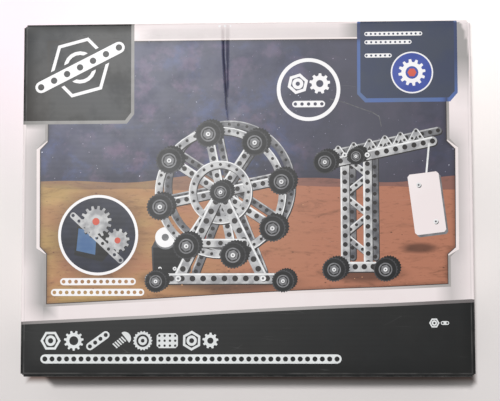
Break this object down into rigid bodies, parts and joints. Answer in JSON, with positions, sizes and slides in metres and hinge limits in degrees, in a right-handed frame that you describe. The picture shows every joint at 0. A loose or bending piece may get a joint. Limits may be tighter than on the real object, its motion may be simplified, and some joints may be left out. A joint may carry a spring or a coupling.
{
  "type": "toy construction kit carton",
  "caption": "Flat retail carton of fluted board for a metal toy construction kit, with a printed gloss skin and a straight tuck end at each short side.",
  "frame": {"origin": "centre of the closed carton's footprint, on the surface that its back panel lies on", "axes": "+X to the right of the print, along the carton's tube; +Y to the top of the print; +Z out of the front panel"},
  "size_m": [0.32, 0.252, 0.06],
  "materials": {
    "laminated_print": "offset print under clear gloss film on fine-flute board",
    "board_liner": "uncoated grey-brown paper liner and cut flutes, matt"
  },
  "bodies": {
    "tube": {"front_panel": "laminated_print", "back_panel": "laminated_print", "upper_side_panel": "laminated_print", "lower_side_panel": "laminated_print", "glue_flap": "board_liner"},
    "left_closure": {"left_closure_panel": "laminated_print", "left_tuck_tongue": "laminated_print"},
    "left_upper_dust_flap_body": {"left_upper_dust_flap": "board_liner"},
    "left_lower_dust_flap_body": {"left_lower_dust_flap": "board_liner"},
    "right_closure": {"right_closure_panel": "laminated_print", "right_tuck_tongue": "laminated_print"},
    "right_upper_dust_flap_body": {"right_upper_dust_flap": "board_liner"},
    "right_lower_dust_flap_body": {"right_lower_dust_flap": "board_liner"}
  },
  "joints": [
    {"name": "left_closure_hinge", "type": "hinge", "parent": "tube", "child": "left_closure", "pos_m": [-0.16, 0, 0.06], "axis": [0, 1, 0], "range_deg": [0, 180]},
    {"name": "left_upper_dust_flap_hinge", "type": "hinge", "parent": "tube", "child": "left_upper_dust_flap_body", "pos_m": [-0.1582, 0.126, 0.03], "axis": [0, 0, -1], "range_deg": [0, 90]},
    {"name": "left_lower_dust_flap_hinge", "type": "hinge", "parent": "tube", "child": "left_lower_dust_flap_body", "pos_m": [-0.1582, -0.126, 0.03], "axis": [0, 0, 1], "range_deg": [0, 90]},
    {"name": "right_closure_hinge", "type": "hinge", "parent": "tube", "child": "right_closure", "pos_m": [0.16, 0, 0.06], "axis": [0, -1, 0], "range_deg": [0, 180]},
    {"name": "right_upper_dust_flap_hinge", "type": "hinge", "parent": "tube", "child": "right_upper_dust_flap_body", "pos_m": [0.1582, 0.126, 0.03], "axis": [0, 0, 1], "range_deg": [0, 90]},
    {"name": "right_lower_dust_flap_hinge", "type": "hinge", "parent": "tube", "child": "right_lower_dust_flap_body", "pos_m": [0.1582, -0.126, 0.03], "axis": [0, 0, -1], "range_deg": [0, 90]}
  ],
  "couplings": [
    {"joint": "left_upper_dust_flap_hinge", "follows": "left_closure_hinge", "ratio": 0.5},
    {"joint": "left_lower_dust_flap_hinge", "follows": "left_closure_hinge", "ratio": 0.5},
    {"joint": "right_upper_dust_flap_hinge", "follows": "right_closure_hinge", "ratio": 0.5},
    {"joint": "right_lower_dust_flap_hinge", "follows": "right_closure_hinge", "ratio": 0.5}
  ]
}
